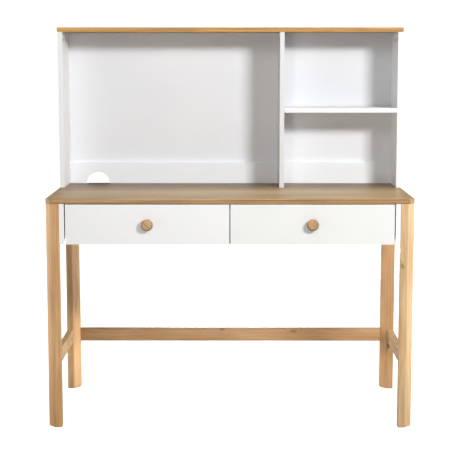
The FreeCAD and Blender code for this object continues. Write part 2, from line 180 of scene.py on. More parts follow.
# Multiplies a colour by low where the value is at start, and by high where it's at end.
def scaleColour(tree, colour, value, low, high, start=0.0, end=1.0):
    share = addNode(tree, "ShaderNodeMapRange", {"Value": value, "From Min": start, "From Max": end,
                                                 "To Min": low, "To Max": high})
    share = addNode(tree, "ShaderNodeCombineXYZ", {"X": share, "Y": share, "Z": share})
    return addNode(tree, "ShaderNodeMixRGB", {0: 1.0, 1: colour, 2: share}, blend_type="MULTIPLY")


# How far a point is from a centre, with each axis counted by its own share.
def distanceFrom(tree, spot, centre, shares):
    gap = addNode(tree, "ShaderNodeVectorMath", {0: spot, 1: centre}, operation="SUBTRACT")
    gap = addNode(tree, "ShaderNodeVectorMath", {0: gap, 1: shares}, operation="MULTIPLY")
    return addNode(tree, "ShaderNodeVectorMath", {0: gap}, operation="LENGTH").outputs["Value"]


# Ends a finish: one fine pattern gives the relief and the small swings of roughness.
def closeFinish(tree, colour, fine, rough, swing, depth, constants):
    gloss = addNode(tree, "ShaderNodeMapRange",
                    {"Value": fine, "From Min": 0.3, "From Max": 0.7, "To Min": rough + swing[0],
                     "To Max": rough + swing[1]})
    relief = addNode(tree, "ShaderNodeBump", {"Height": fine, "Distance": depth, "Strength": 1.0})
    wires = {"Base Color": colour, "Roughness": gloss, "Normal": relief}
    surface = addNode(tree, "ShaderNodeBsdfPrincipled", {**wires, **constants})
    addNode(tree, "ShaderNodeOutputMaterial", {"Surface": surface})


# Fibres about 1 mm wide and streaks of pores about 3 mm wide, both wider than real ones so
# that they show. Scales are repeats in a metre, along the grain first.
grainSizes = {
    "fibreScale": (9, 620, 620),
    "streakScale": (4.5, 150, 150),
    "relief": 0.05 * mm,
    "roughSwing": (-0.05, 0.07),
    "staveJump": (3.0, 0.10, 0.05),  # how far the figure may move from stave to stave
    "knotLong": 0.45,                # distance along the grain counts by this near a knot
    "knotBulge": (3.2, 1.4),         # reach and height of the rings' bulge, in knot radii
    "knotEdge": (0.35, 1.25),        # where the dark begins to fade and ends, in knot radii
    "knotTone": "5E3B22",
}
waveSpacing = 0.314  # a wave texture's rings are this far apart at scale 1


# A point's place in the log, with the pith as its axis. Each stave of a glued board is cut from
# another part of it, and has its own tone.
def grainPlace(tree, spot, spec):
    turns = {"x": (0, 0, 0), "y": (0, 0, -math.pi / 2), "z": (0, math.pi / 2, 0)}
    grain = addNode(tree, "ShaderNodeMapping",
                    {"Vector": spot, "Rotation": spec.get("turn", turns[spec["along"]]),
                     "Location": spec["pith"]})
    if not spec.get("stave"):
        return grain, None
    across = addNode(tree, "ShaderNodeSeparateXYZ", {0: grain}).outputs[1]
    row = addNode(tree, "ShaderNodeMath", {0: across, 1: spec["stave"]}, operation="DIVIDE")
    row = addNode(tree, "ShaderNodeMath", {0: row}, operation="FLOOR")
    stave = addNode(tree, "ShaderNodeTexWhiteNoise", {"W": row}, noise_dimensions="1D").outputs
    jump = addNode(tree, "ShaderNodeVectorMath",
                   {0: stave["Color"], 1: grainSizes["staveJump"]}, operation="MULTIPLY")
    grain = addNode(tree, "ShaderNodeVectorMath", {0: grain, 1: jump}, operation="ADD")
    return grain, stave["Value"]


# The rings wander slowly and bulge round each knot. Gives their place and the knots' darkness.
def bendRings(tree, spot, grain, spec):
    slow = addNode(tree, "ShaderNodeVectorMath", {0: grain, 1: spec["wanderScale"]},
                   operation="MULTIPLY")
    noise = addNode(tree, "ShaderNodeTexNoise", {"Vector": slow, "Scale": 1.0, "Detail": 2.0})
    wander = addNode(tree, "ShaderNodeVectorMath", {0: noise.outputs["Color"], 1: (0.5, 0.5, 0.5)},
                     operation="SUBTRACT")
    wander = addNode(tree, "ShaderNodeVectorMath",
                     {0: wander, 1: (0, spec["wander"], spec["wander"])}, operation="MULTIPLY")
    rings = addNode(tree, "ShaderNodeVectorMath", {0: grain, 1: wander}, operation="ADD")
    shares = [grainSizes["knotLong"] if axis == spec["along"] else 1 for axis in "xyz"]
    darkness = None
    for centre, radius in spec.get("knots", ()):
        away = distanceFrom(tree, spot, centre, shares)
        reach, height = (radius * share for share in grainSizes["knotBulge"])
        bulge = addNode(tree, "ShaderNodeMapRange",
                        {"Value": away, "From Min": 0.0, "From Max": reach, "To Min": height,
                         "To Max": 0.0}, interpolation_type="SMOOTHSTEP")
        bulge = addNode(tree, "ShaderNodeCombineXYZ", {"Y": bulge, "Z": bulge})
        rings = addNode(tree, "ShaderNodeVectorMath", {0: rings, 1: bulge}, operation="ADD")
        fade, end = (radius * share for share in grainSizes["knotEdge"])
        dark = addNode(tree, "ShaderNodeMapRange",
                       {"Value": away, "From Min": fade, "From Max": end, "To Min": 1.0,
                        "To Max": 0.0}, interpolation_type="SMOOTHSTEP")
        darkness = dark if darkness is None else addNode(
            tree, "ShaderNodeMath", {0: darkness, 1: dark}, operation="MAXIMUM")
    return rings, darkness


# Cut wood. The grain runs along one axis of the piece; growth rings wander round a pith that lies
# outside it, so its faces show long flame figures, with fibres, pores and knots over them.
def woodFinish(name, spec):
    finish, tree = newFinish(name)
    spot = addNode(tree, "ShaderNodeTexCoord").outputs["Object"]
    grain, staveValue = grainPlace(tree, spot, spec)
    ringPlace, knotDark = bendRings(tree, spot, grain, spec)
    rings = addNode(tree, "ShaderNodeTexWave",
                    {"Vector": ringPlace, "Scale": waveSpacing / spec["ring"], "Distortion": 1.1,
                     "Detail": 2.0, "Detail Scale": 0.35, "Detail Roughness": 0.6},
                    wave_type="RINGS", rings_direction="X", wave_profile="SAW")
    tones = [tuple(part * share for part, share in zip(linear(tone), spec["tint"] + (1,)))
             for tone in spec["tones"]]
    colour = addNode(tree, "ShaderNodeValToRGB", {"Fac": rings},
                     [(0.0, tones[0]), (0.55, tones[1]), (0.93, tones[2]), (1.0, tones[0])])
    # noise at four sizes: the broad drift of the cast, blotches, fibres and streaks of pores
    noise = {}
    for part, stretch, more in (("cast", spec["castScale"], {"Detail": 3.0}),
                                ("patch", spec["patchScale"], {"Detail": 2.0, "Distortion": 0.6}),
                                ("fibre", grainSizes["fibreScale"], {"Detail": 3.0}),
                                ("streak", grainSizes["streakScale"],
                                 {"Detail": 4.0, "Roughness": 0.6})):
        stretched = addNode(tree, "ShaderNodeVectorMath", {0: grain, 1: stretch},
                            operation="MULTIPLY")
        noise[part] = addNode(tree, "ShaderNodeTexNoise",
                              {"Vector": stretched, "Scale": 1.0, **more})
    cast = addNode(tree, "ShaderNodeValToRGB", {"Fac": noise["cast"]},
                   [(0.34, tones[3]), (0.66, tones[4])])
    colour = addNode(tree, "ShaderNodeMixRGB", {0: spec["castShare"], 1: colour, 2: cast})
    if staveValue:
        colour = scaleColour(tree, colour, staveValue, 1 - spec["staveTone"],
                             1 + spec["staveTone"])
    for part, rise, start, end in (("patch", 1, 0.35, 0.65), ("fibre", 1, 0.3, 0.7),
                                   ("streak", 0.6, 0.36, 0.64)):
        colour = scaleColour(tree, colour, noise[part], 1 - spec[part], 1 + spec[part] * rise,
                             start, end)
    # slow changes across the piece, mostly painted light and shade: a chamfer lighter than the flat
    # beside it, a flat darker in a cast shadow, a board darker where the hutch shades it
    for axis, start, end, rise in spec.get("leans", ()):
        along = addNode(tree, "ShaderNodeSeparateXYZ", {0: spot}).outputs[axis]
        colour = scaleColour(tree, colour, along, 1.0, 1 + rise, start, end)
    # a darker rim round a turned face, where the tool ran hot; a centre set above the face's middle
    # makes the lower rim darker still, painted shade
    if spec.get("rim"):
        centre, start, end, depth = spec["rim"]
        away = distanceFrom(tree, spot, centre, (1, 0, 1))
        colour = scaleColour(tree, colour, away, 1.0, 1 - depth, start, end)
    if knotDark:
        knotShare = addNode(tree, "ShaderNodeMath", {0: knotDark, 1: spec.get("knotDepth", 0.8)},
                            operation="MULTIPLY")
        colour = addNode(tree, "ShaderNodeMixRGB",
                         {0: knotShare, 1: colour, 2: linear(grainSizes["knotTone"])})
    closeFinish(tree, colour, noise["fibre"], spec["rough"], grainSizes["roughSwing"],
                grainSizes["relief"], {"IOR": 1.5})
    return finish


# Smooth manufactured surfaces: a base tone with a slow mottle, and a fine relief.
def plainFinish(name, spec):
    finish, tree = newFinish(name)
    spot = addNode(tree, "ShaderNodeTexCoord").outputs["Object"]
    stretched = addNode(tree, "ShaderNodeVectorMath",
                        {0: spot, 1: spec.get("stretch", (1, 1, 1))}, operation="MULTIPLY")
    slow = addNode(tree, "ShaderNodeTexNoise",
                   {"Vector": stretched, "Scale": 1 / spec["mottle"], "Detail": 3.0})
    fine = addNode(tree, "ShaderNodeTexNoise",
                   {"Vector": stretched, "Scale": 1 / spec["relief"], "Detail": 2.0})
    colour = addNode(tree, "ShaderNodeValToRGB", {"Fac": slow},
                     [(0.35, linear(spec["tones"][0])), (0.65, linear(spec["tones"][1]))])
    # painted shade: what lies right of, before and above a corner is made a little greyer
    if spec.get("greyer"):
        corner, share = spec["greyer"]
        parts = addNode(tree, "ShaderNodeSeparateXYZ", {0: spot}).outputs
        for axis, test in enumerate(("GREATER_THAN", "LESS_THAN", "GREATER_THAN")):
            inside = addNode(tree, "ShaderNodeMath", {0: parts[axis], 1: corner[axis]},
                             operation=test)
            share = addNode(tree, "ShaderNodeMath", {0: inside, 1: share}, operation="MULTIPLY")
        colour = addNode(tree, "ShaderNodeMixRGB", {0: share, 1: colour, 2: (0, 0, 0, 1)})
    constants = {"Metallic": 1.0} if spec.get("metal") else {"IOR": spec.get("ior", 1.5)}
    constants.update(spec.get("more", {}))
    closeFinish(tree, colour, fine, spec["rough"], (-0.05, 0.05), spec["depth"], constants)
    return finish


# Wood tones: pale, middle and deep in each ring, then the two ends of the broad drift
oakTones = ("C0A379", "B2956C", "967A53", "A08158", "CDB384")
solidTones = ("D0A878", "C79E6E", "B58B5B", "BC8F5D", "DAB788")
knobTones = ("DDB585", "C2956A", "96663F", "B27F58", "DDBD8C")

# Oak-printed melamine board with a brushed satin skin: soft flame figure in brownish tan
oak = {"tones": oakTones, "along": "x", "wanderScale": (1.1, 3.0, 3.0), "wander": 0.05,
       "ring": 0.011, "castScale": (0.9, 15, 15), "castShare": 0.60, "patch": 0.20,
       "patchScale": (2.2, 26, 26), "stave": 0.062, "staveTone": 0.17, "fibre": 0.06,
       "streak": 0.24, "rough": 0.42}
# Solid oak under clear matt lacquer: honey tan, paler sapwood, a few small knots
solid = {"tones": solidTones, "along": "z", "wanderScale": (1.8, 7, 7), "wander": 0.050,
         "ring": 0.0090, "castScale": (3.4, 15, 15), "castShare": 0.55, "patch": 0.10,
         "patchScale": (5, 22, 22), "fibre": 0.045, "streak": 0.07, "rough": 0.50}
# Turned knob wood, close-grained, with the figure running across the face
knob = dict(solid, tones=knobTones, along="x", ring=0.0055, wander=0.012, castShare=0.30,
            castScale=(20, 90, 90), patch=0.14, streak=0.16, rough=0.45)

# A lean is an axis, its start, its end and how much lighter the wood is there; a knot is a centre
# and a radius; a rim is a centre, how far from it the dark starts and is full, and how dark it is.
# The knobs' rims are centred 2 mm above their middle, which leaves them darker below: painted
# shade.
# A tint is partly the piece's own tone and partly painted light and shade, lifting pieces that the
# lamps leave too dark and lowering those they light too much.
woods = {
    "oakBoard": ("oakPrintedMelamine", dict(
        oak, pith=(0.4, 0.07, -0.62), tint=(0.429, 0.400, 0.340),
        # lighter towards the right; lighter towards the front, painted shade on its rear under the
        # hutch
        leans=[(0, -0.40, 0.50, 0.14), (1, 0.05, -0.27, 0.50)])),
    "oakBand": ("oakPrintedEdgeBand", dict(
        oak, pith=(0.9, 0.31, -0.70), stave=None, tint=(0.81, 0.675, 0.525),
        leans=[(0, -0.42, -0.12, 0.35)])),
    "oakHutchTop": ("oakPrintedMelamineUpper", dict(
        oak, pith=(1.9, 0.02, -1.18), rough=0.66, tint=(0.62, 0.55, 0.46))),
    "oakHutchBand": ("oakPrintedEdgeBandUpper", dict(
        oak, pith=(2.9, 0.31, -0.70), stave=None, tint=(1.28, 0.99, 0.54))),
    "legFrontLeft": ("lacqueredOakLegFrontLeft", dict(
        solid, pith=(0.2, 0.72, 0.31), tint=(1.03, 0.95, 0.88),
        # paler towards its outer chamfer: partly sapwood, partly painted light on that face
        leans=[(0, -0.577, -0.600, 0.50)])),
    "legFrontRight": ("lacqueredOakLegFrontRight", dict(
        solid, pith=(1.1, -0.52, 0.33), tint=(1.05, 1.12, 1.20),
        # its chamfer lighter than the flat, stepping sharply at the arris between them: painted
        # light
        leans=[(0, 0.5765, 0.5785, 0.14), (0, 0.580, 0.598, 0.14)],
        knots=[((0.5608, -0.258, 0.542), 0.0042), ((0.5655, -0.258, 0.537), 0.0034)])),
    "legRearLeft": ("lacqueredOakLegRearLeft", dict(
        solid, pith=(2.1, 0.70, -0.33), tint=(1.27, 1.28, 1.32),
        # its front flat darker than its chamfer: painted shade for the case's shadow on the flat,
        # and painted light on the chamfer
        leans=[(0, -0.580, -0.574, 0.42)])),
    "legRearRight": ("lacqueredOakLegRearRight", dict(
        solid, pith=(3.0, -0.50, -0.30), tint=(1.10, 1.01, 0.96),
        # lighter towards its inner chamfer: painted light
        leans=[(0, 0.583, 0.568, 0.18)], knots=[((0.5807, 0.236, 0.161), 0.005)])),
    "sideStretchers": ("lacqueredOakSideStretchers", dict(
        solid, along="y", pith=(0.5, 0.45, -0.25), tint=(1.36, 1.48, 1.60))),
    "rearStretcher": ("lacqueredOakRearStretcher", dict(
        solid, along="x", pith=(0.7, -0.32, -0.26), tint=(0.90, 0.85, 0.88),
        # lighter towards the right: painted shade on the left part, which lies in the case's shadow
        leans=[(0, -0.50, 0.50, 0.30)], knotDepth=0.45,
        knots=[((-0.030, 0.2605, 0.217), 0.006), ((0.234, 0.2605, 0.210), 0.007)])),
    "knobLeft": ("lacqueredOakKnobLeft", dict(
        knob, pith=(0.3, 0.262, -0.31), turn=(0, math.radians(-42), 0), tint=(1.01, 1.02, 1.00),
        rim=((-0.26825, 0, 0.6785), 0.0130, 0.0180, 0.48))),
    "knobRight": ("lacqueredOakKnobRight", dict(
        knob, along="y", pith=(0.1, 0.2655, -0.6785), ring=0.0048, wander=0.003,
        tint=(0.86, 0.86, 0.76), rim=((0.26825, 0, 0.6785), 0.0130, 0.0180, 0.48))),
    # Turned beech, bare: paler than the oak, and dull
    "dowelBeech": ("bareBeechDowel", dict(
        solid, along="y", pith=(0.0, 0.03, 0.05), ring=0.002, wander=0.004, rough=0.7,
        tint=(1.12, 1.30, 1.60))),
}

# White melamine-faced board: satin, with the faint pearl relief of the press plate. Each board has
# its own white, lighter or darker than the others as painted light and shade for how the lamps
# light it.
melamine = {"mottle": 0.20, "relief": 0.0012, "depth": 0.02 * mm, "rough": 0.42}
plains = {
    "whiteBoard": ("whiteMelamineBoard", dict(melamine, tones=("F2F3F4", "F5F5F6"))),
    "whiteRail": ("whiteMelamineRail", dict(melamine, tones=("F8FBFF", "FAFCFF"))),
    "whiteDivider": ("whiteMelamineDivider", dict(melamine, tones=("E3E4E6", "E6E7E9"))),
    "whiteShelf": ("whiteMelamineShelf", dict(melamine, tones=("F4F5F6", "F6F6F7"))),
    "whiteFrontLeft": ("whiteMelamineFrontLeft", dict(melamine, tones=("F0F0EF", "F2F2F1"))),
    "whiteFrontRight": ("whiteMelamineFrontRight", dict(melamine, tones=("EAEAE8", "EDEDEB"))),
    "whiteSideRight": ("whiteMelamineSideRight", dict(
        # painted shade: its outer face is made greyer
        melamine, tones=("FBFCFD", "FDFEFE"), greyer=((0.5985, 1.0, -1.0), 0.11))),  # outer face
    # Lacquered hardboard: white, a little duller, with the slow ripple of a thin sheet
    "backBoard": ("whiteLacqueredHardboard", {
        "tones": ("EDEFF4", "F0F2F6"), "mottle": 0.30, "relief": 0.003, "depth": 0.03 * mm,
        # painted shade: its front in the upper right bay is made greyer
        "rough": 0.50, "greyer": ((0.181, 0.2785, 1.031), 0.09)}),  # the upper right bay
    # White foil wrapped over chipboard: matt, drawn slightly along the board
    "foilBoard": ("whiteFoilBoard", {
        "tones": ("DEDEDC", "E3E3E1"), "mottle": 0.12, "relief": 0.0010, "depth": 0.02 * mm,
        "rough": 0.55, "stretch": (1, 0.25, 1)}),
    # White foil on thin hardboard: greyer and flat
    "drawerBottom": ("whiteFoilHardboard", {
        "tones": ("D2D2D0", "D8D8D6"), "mottle": 0.16, "relief": 0.002, "depth": 0.02 * mm,
        "rough": 0.6}),
    # Epoxy-coated steel sheet: white, low orange peel
    "epoxySteel": ("whiteEpoxySteel", {
        "tones": ("E2E2DF", "E8E8E5"), "mottle": 0.05, "relief": 0.0015, "depth": 0.05 * mm,
        "rough": 0.36}),
    # Natural nylon: milky, soft gloss, light passes a little way in
    "nylon": ("naturalNylon", {
        "tones": ("E6E3D8", "EDEAE0"), "mottle": 0.01, "relief": 0.0008, "depth": 0.02 * mm,
        "rough": 0.45, "ior": 1.53,
        "more": {"Subsurface Weight": 0.15, "Subsurface Scale": 0.002}}),
    # Die-cast zinc: dull grey with a sandy skin
    "zinc": ("dieCastZinc", {
        "tones": ("787A7C", "8A8C8E"), "mottle": 0.004, "relief": 0.0004, "depth": 0.02 * mm,
        "rough": 0.60, "metal": True}),
    # Zinc-plated steel: bright, slightly blue
    "brightSteel": ("zincPlatedSteel", {
        "tones": ("B9BDC1", "C9CCCF"), "mottle": 0.01, "relief": 0.0006, "depth": 0.01 * mm,
        "rough": 0.30, "metal": True}),
    # Painted studio floor: flat white, lost in the room
    "floor": ("paleFloor", {
        "tones": ("B0B0B0", "B3B3B3"), "mottle": 0.8, "relief": 0.01, "depth": 0.01 * mm,
        "rough": 0.8}),
}


# The floor looks as white as the room, and gives the desk no more light for it.
def lightFloor(tree):
    surface = next(n for n in tree.nodes if n.type == "BSDF_PRINCIPLED")
    seen = addNode(tree, "ShaderNodeLightPath").outputs["Is Camera Ray"]
    spot = addNode(tree, "ShaderNodeTexCoord").outputs["Object"]
    away = addNode(tree, "ShaderNodeVectorMath", {0: spot}, operation="LENGTH").outputs["Value"]
    near, far = studio["glowReach"]
    glow = addNode(tree, "ShaderNodeMapRange",
                   {"Value": away, "From Min": near, "From Max": far,
                    "To Min": studio["floorGlow"][0], "To Max": studio["floorGlow"][1]})
    glow = addNode(tree, "ShaderNodeMath", {0: seen, 1: glow}, operation="MULTIPLY")
    surface.inputs["Emission Color"].default_value = (1, 1, 1, 1)
    tree.links.new(glow.outputs[0], surface.inputs["Emission Strength"])


def makeFinishes():
    made = {key: woodFinish(name, spec) for key, (name, spec) in woods.items()}
    made.update((key, plainFinish(name, spec)) for key, (name, spec) in plains.items())
    lightFloor(made["floor"].node_tree)
    return made


# Shapes

hands = {"left": -1, "right": 1}  # and the sign of X there


# "leg_rear_left" gives "legRearLeft".
def camel(words):
    first, *others = words.split("_")
    return first + "".join(word.capitalize() for word in others)


def bodyOf(node):
    return next(body for body, members in frame["record"]["behaviour"]["bodies"].items()
                if node in members)


def slotOf(node):
    return next(row["material_slot"] for row in frame["record"]["subparts"] if row["node"] == node)


def place(piece, body, replaced=()):
    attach(piece, body)
    if replaced:
        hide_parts(*replaced)


# Makes a piece of a worked shape. Edges over so many degrees stay sharp.
def makePiece(shape, name, sharpFrom):
    mesh = bpy.data.meshes.new(name)
    shape.to_mesh(mesh)
    shape.free()
    mesh.shade_smooth()
    mesh.set_sharp_from_angle(angle=math.radians(sharpFrom))
    return link(bpy.data.objects.new(name, mesh))


dressSizes = {
    "weld": 0.01 * mm,               # corners this near are one
    "flatTo": math.radians(0.4),     # triangles bent less than this are one face
    "easeFrom": math.radians(60),    # edges bent more than this are eased,
    "easeLength": 5,                 # if they're longer than this many eases
    "sharpFrom": 50,
}


# A piece with a CAD node's own shape, its loose triangles joined into whole faces and its
# outer edges eased.
def dress(node, name, finish, edge):
    shape = bmesh.new()
    shape.from_mesh(cadNodes[node].data)
    bmesh.ops.remove_doubles(shape, verts=shape.verts, dist=dressSizes["weld"])
    bmesh.ops.dissolve_limit(shape, angle_limit=dressSizes["flatTo"], verts=shape.verts,
                             edges=shape.edges)
    if edge:
        outer = [e for e in shape.edges if e.is_manifold and e.is_convex
                 and e.calc_face_angle(0) > dressSizes["easeFrom"]
                 and e.calc_length() > edge * dressSizes["easeLength"]]
        bmesh.ops.bevel(shape, geom=outer, offset=edge, segments=2, profile=0.5,
                        affect="EDGES", clamp_overlap=True)
    piece = makePiece(shape, name, dressSizes["sharpFrom"])
    piece.data.materials.append(finish)
    weighted = piece.modifiers.new("facesFlat", "WEIGHTED_NORMAL")
    weighted.keep_sharp = True
    place(piece, bodyOf(node), [node])
    return piece


# The upright faces of a board carry an edge band of their own.
def bandEdges(piece, finish):
    piece.data.materials.append(finish)
    for face in piece.data.polygons:
        face.material_index = 1 if abs(face.normal.z) < 0.7 else 0


# A turned shape from (radius, reach) points. The axis starts at a centre and runs along a unit
# vector; ends on the axis are closed to a single point. A closed profile joins its last point to
# its first, and vary may move a point by its turn.
def turned(name, centre, axis, profile, steps, closed=False, vary=None):
    axis = Vector(axis)
    across = axis.orthogonal().normalized()
    up = axis.cross(across)
    shape = bmesh.new()
    rows = []
    for radius, reach in profile:
        if radius == 0:
            rows.append([shape.verts.new(Vector(centre) + axis * reach)] * steps)
            continue
        row = []
        for step in range(steps):
            turn = 2 * math.pi * step / steps
            r, out = vary(radius, reach, turn) if vary else (radius, reach)
            row.append(shape.verts.new(Vector(centre) + axis * out
                                       + across * (r * math.cos(turn)) + up * (r * math.sin(turn))))
        rows.append(row)
    pairs = list(zip(rows, rows[1:]))
    if closed:
        pairs.append((rows[-1], rows[0]))
    for near, far in pairs:
        for step in range(steps):
            after = (step + 1) % steps
            corners = list(dict.fromkeys([near[step], near[after], far[after], far[step]]))
            if len(corners) > 2:
                shape.faces.new(corners)
    bmesh.ops.recalc_face_normals(shape, faces=shape.faces)
    return makePiece(shape, name, 42)


# The CAD nodes that show, such as runners and dowels, wear the finish of their slot.
def finishNodes(finishes):
    bySlot = {"oak_top": "oakBoard", "solid_wood": "legFrontLeft", "knob_wood": "knobLeft",
              "dowel_wood": "dowelBeech", "white_board": "whiteBoard", "back_board": "backBoard",
              "drawer_board": "foilBoard", "drawer_bottom_board": "drawerBottom",
              "runner_steel": "epoxySteel", "nylon": "nylon", "zinc": "zinc",
              "bright_steel": "brightSteel"}
    for node, obj in cadNodes.items():
        obj.data.materials.clear()
        obj.data.materials.append(finishes[bySlot[slotOf(node)]])


# The finish of each dressed board, and how far its edges are eased, in mm
boards = {
    "desktop": ("oakBoard", 0), "hutch_top": ("oakHutchTop", 0),
    "leg_front_left": ("legFrontLeft", 0), "leg_front_right": ("legFrontRight", 0),
    "leg_rear_left": ("legRearLeft", 0), "leg_rear_right": ("legRearRight", 0),
    "side_stretcher_left": ("sideStretchers", 0), "side_stretcher_right": ("sideStretchers", 0),
    "rear_stretcher": ("rearStretcher", 0),
    "case_side_left": ("whiteBoard", 0.5), "case_side_right": ("whiteBoard", 0.5),
    "case_partition": ("whiteBoard", 0.5), "case_back": ("whiteBoard", 0.5),
    "hutch_side_left": ("whiteBoard", 0.6), "hutch_side_right": ("whiteSideRight", 0.6),
    "hutch_divider": ("whiteDivider", 0.6), "hutch_shelf": ("whiteShelf", 0.6),
    "hutch_rail_left": ("whiteRail", 0.6), "hutch_rail_right": ("whiteRail", 0.6),
    "hutch_back_panel": ("backBoard", 0.3),
    "top_brackets": ("brightSteel", 0.4), "shelf_supports": ("brightSteel", 0.5),
}
ownNames = {"desktop": "deskTop", "case_back": "caseApron"}
edgeBands = {"oakBoard": "oakBand", "oakHutchTop": "oakHutchBand"}
drawerBoards = {"side_outer": ("foilBoard", 0.5), "side_inner": ("foilBoard", 0.5),
                "back": ("foilBoard", 0.5), "bottom": ("drawerBottom", 0.2)}


def dressBoards(finishes):
    for node, (finish, edge) in boards.items():
        piece = dress(node, ownNames.get(node, camel(node)), finishes[finish], edge * mm)
        if finish in edgeBands:
            bandEdges(piece, finishes[edgeBands[finish]])
    for word in hands:
        parts = {"front": ("whiteFront" + word.capitalize(), 0), **drawerBoards}
        for part, (finish, edge) in parts.items():
            dress("drawer_%s_%s" % (word, part), camel("drawer_%s_%s" % (part, word)),
                  finishes[finish], edge * mm)


knobSizes = {"foot": 12.0, "footEase": 0.6, "waist": 11.4, "rim": 19.0, "rimStart": 0.50,
             "sweepPower": 1.15, "easeAcross": 4.6, "easeAlong": 5.2, "dome": 0.8, "sides": 64}


# Turned knob: a foot that sweeps out to the rim, a rounded edge and a slightly domed face.
def turnKnobs(finishes):
    k = knobSizes
    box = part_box("drawer_left_knob")
    length = (box[1].y - box[0].y) / mm
    profile = [(0, 0), (k["foot"] - k["footEase"], 0), (k["foot"], k["footEase"])]
    sweepSteps, easeSteps = 10, 8
    for step in range(1, sweepSteps + 1):
        t = step / sweepSteps
        swept = (0.5 - 0.5 * math.cos(math.pi * t)) ** k["sweepPower"]
        profile.append((k["waist"] + (k["rim"] - k["waist"]) * swept,
                        k["footEase"] + (length * k["rimStart"] - k["footEase"]) * t))
    profile.append((k["rim"], length - k["easeAlong"] - k["dome"]))
    for step in range(1, easeSteps + 1):
        turn = math.pi / 2 * step / easeSteps
        profile.append((k["rim"] - k["easeAcross"] * (1 - math.cos(turn)),
                        length - k["dome"] - k["easeAlong"] * (1 - math.sin(turn))))
    face = k["rim"] - k["easeAcross"]
    for share in (0.75, 0.5, 0.25, 0):
        profile.append((face * share, length - k["dome"] * share ** 2))
    profile = [(radius * mm, reach * mm) for radius, reach in profile]
    for word in hands:
        node = "drawer_%s_knob" % word
        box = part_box(node)
        centre = (middle(box, 0), box[1].y, middle(box, 2))
        piece = turned("knob" + word.capitalize(), centre, (0, -1, 0), profile, k["sides"])
        piece.data.materials.append(finishes["knob" + word.capitalize()])
        place(piece, "drawer_" + word, [node])


rollerSizes = {"radius": 11.0, "width": 6.5, "ease": 0.7, "corner": 0.2, "bore": 2.55, "hub": 4.6,
               "rim": 8.9, "recess": 1.2, "slope": 0.25, "spokes": 5, "spokeSink": 0.3,
               "spokePower": 6, "sides": 60}


# Nylon roller: rounded tread, a recessed web with spokes between the rim and the hub.
def mouldRollers(finishes):
    r = rollerSizes
    half = r["width"] / 2

    def spoked(radius, reach, turn):
        inWeb = r["hub"] * mm < radius < r["rim"] * mm
        if inWeb and abs(reach) < (half - r["spokeSink"]) * mm:
            spoke = max(0.0, math.cos(turn * r["spokes"])) ** r["spokePower"]
            reach = math.copysign(
                abs(reach) + spoke * (r["recess"] - r["spokeSink"]) * mm, reach)
        return radius, reach

    side = [(r["bore"], half), (r["hub"], half), (r["hub"] + r["slope"], half - r["recess"]),
            (r["rim"] - r["slope"], half - r["recess"]), (r["rim"], half),
            (r["radius"] - r["ease"], half), (r["radius"] - r["corner"], half - r["corner"]),
            (r["radius"], half - r["ease"])]
    profile = side + [(radius, -reach) for radius, reach in reversed(side)]
    profile = [(radius * mm, reach * mm) for radius, reach in profile]
    for node in cadNodes:
        if not node.startswith("roller_"):
            continue
        low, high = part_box(node)
        wheel = turned(camel(node), (low + high) / 2, (1, 0, 0), profile, r["sides"], closed=True,
                       vary=spoked)
        wheel.data.materials.append(finishes["nylon"])
        place(wheel, node, [node])


# Fasteners

# Lengths in mm; the head's sides are a count.
screw = {"Head Radius": 3.4, "Head Height": 1.5, "Dome": 0.6, "Sink": 0.1, "Recess Length": 3.8,
         "Recess Width": 0.8, "Recess Depth": 0.9, "Shank Radius": 1.5, "Shank Length": 10.0}
fastenerSizes = {
    "screw": screw,
    "flatScrew": {**screw, "Head Height": 1.2, "Shank Length": 9.0},
    "flushScrew": {"Head Radius": 3.8, "Head Height": 1.2, "Dome": 0.1, "Sink": 1.0,
                   "Recess Length": 3.8, "Recess Width": 0.9, "Recess Depth": 0.8,
                   "Shank Radius": 1.5, "Shank Length": 30.0},
    "nail": {"Head Radius": 2.2, "Head Height": 0.5, "Dome": 0.02, "Sink": 0.46,
             "Recess Depth": 0.0, "Shank Radius": 0.7, "Shank Length": 17.5, "Head Sides": 16},
    "camLock": {"Head Radius": 7.5, "Head Height": 12.0, "Dome": 0.25, "Sink": 12.05,
                "Recess Length": 8.5, "Recess Width": 1.7, "Recess Depth": 3.0,
                "Shank Radius": 2.0, "Shank Length": 0.5, "Head Sides": 40},
    "legBolt": {"Head Radius": 6.5, "Head Height": 3.5, "Dome": 0.3, "Sink": 3.5,
                "Recess Length": 4.6, "Recess Width": 1.0, "Recess Depth": 2.2,
                "Shank Radius": 3.0, "Shank Length": 36.5, "Head Sides": 36,
                "Hexagon Recess": True},
    "hexBolt": {"Head Radius": 5.8, "Head Height": 3.5, "Dome": 0.3, "Sink": 0.0,
                "Recess Depth": 0.0, "Shank Radius": 3.0, "Shank Length": 40.0, "Head Sides": 6},
    "knobScrew": {"Head Radius": 4.5, "Head Height": 2.4, "Dome": 0.9, "Sink": 0.0,
                  "Recess Length": 5.0, "Recess Width": 1.1, "Recess Depth": 1.4,
                  "Shank Radius": 2.0, "Shank Length": 30.0, "Head Sides": 28},
}


